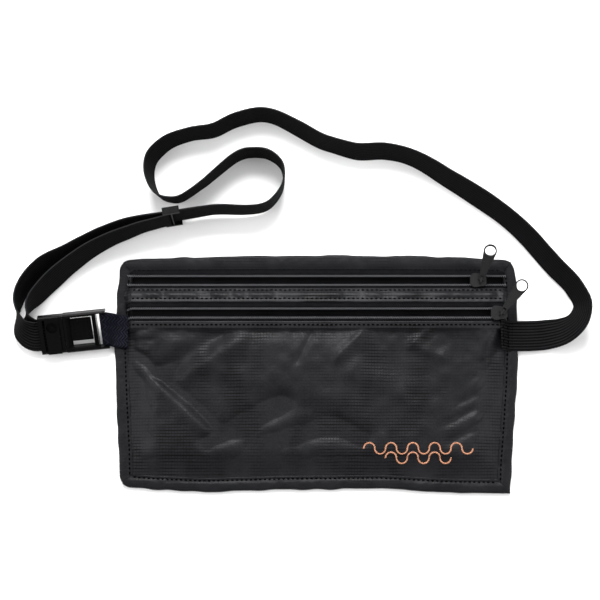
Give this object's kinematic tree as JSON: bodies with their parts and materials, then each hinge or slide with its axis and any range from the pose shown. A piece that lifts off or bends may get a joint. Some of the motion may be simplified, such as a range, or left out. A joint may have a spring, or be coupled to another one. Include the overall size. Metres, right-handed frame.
{
  "type": "money belt",
  "caption": "Flat zipped travel pouch on an elastic waist strap, with a side release buckle and a sliding strap adjuster.",
  "frame": {"origin": "centre of the underside of the pouch's back panel", "axes": "+X across the pouch to the strap's sewn end, +Y to the zipped top edge, +Z out of the front; the belt lies on its back"},
  "size_m": [0.3764, 0.2525, 0.0248],
  "materials": {
    "ripstop": "woven ripstop, dark charcoal",
    "zip_tape": "woven tape",
    "zip_coil": "nylon",
    "elastic": "ribbed elastic",
    "webbing": "twill webbing",
    "buckle_plastic": "moulded acetal",
    "black_metal": "gloss black lacquer",
    "thread": "copper embroidery thread"
  },
  "bodies": {
    "root": {"back_panel": "ripstop", "divider_panel": "ripstop", "front_panel": "ripstop", "middle_strip": "ripstop", "binding_top": "ripstop", "binding_bottom": "ripstop", "binding_left": "ripstop", "binding_right": "ripstop", "rear_tape_upper": "zip_tape", "rear_tape_lower": "zip_tape", "front_tape_upper": "zip_tape", "front_tape_lower": "zip_tape", "rear_coil_upper": "zip_coil", "rear_coil_lower": "zip_coil", "front_coil_upper": "zip_coil", "front_coil_lower": "zip_coil", "tab_webbing": "webbing", "buckle_socket": "buckle_plastic", "strap_run": "elastic", "stitched_motif": "thread"},
    "rear_slider": {"rear_slider": "black_metal"},
    "rear_pull": {"rear_pull": "black_metal"},
    "front_slider": {"front_slider": "black_metal"},
    "front_pull": {"front_pull": "black_metal"},
    "plug": {"buckle_plug": "buckle_plastic", "strap_return": "elastic"},
    "tongue": {"buckle_tongue": "buckle_plastic"},
    "adjuster": {"strap_adjuster": "buckle_plastic"}
  },
  "joints": [
    {"name": "rear_slider_slide", "type": "slide", "parent": "root", "child": "rear_slider", "axis": [1, 0, 0], "range_m": [-0.222, 0.012]},
    {"name": "rear_pull_swing", "type": "hinge", "parent": "rear_slider", "child": "rear_pull", "pos_m": [0.1076, 0.062, 0.00895], "axis": [0.9613, -0.2756, 0], "range_deg": [-32, 114]},
    {"name": "front_slider_slide", "type": "slide", "parent": "root", "child": "front_slider", "axis": [1, 0, 0], "range_m": [-0.23, 0]},
    {"name": "front_pull_swing", "type": "hinge", "parent": "front_slider", "child": "front_pull", "pos_m": [0.1201, 0.0395, 0.01375], "axis": [0.7986, -0.6018, 0], "range_deg": [-4, 157]},
    {"name": "plug_release", "type": "slide", "parent": "root", "child": "plug", "axis": [-0.9945, -0.1045, 0], "range_m": [0, 0.022], "deforming": ["strap_run", "strap_return"]},
    {"name": "tongue_press", "type": "hinge", "parent": "plug", "child": "tongue", "pos_m": [-0.16552, 0.02677, 0.00885], "axis": [-0.0931, 0.8861, 0.454], "range_deg": [0, 4], "stiffness_Nm_per_rad": 1.4},
    {"name": "adjuster_slide", "type": "slide", "parent": "plug", "child": "adjuster", "axis": [0.9869, 0.1616, 0], "range_m": [-0.01, 0.01]}
  ]
}
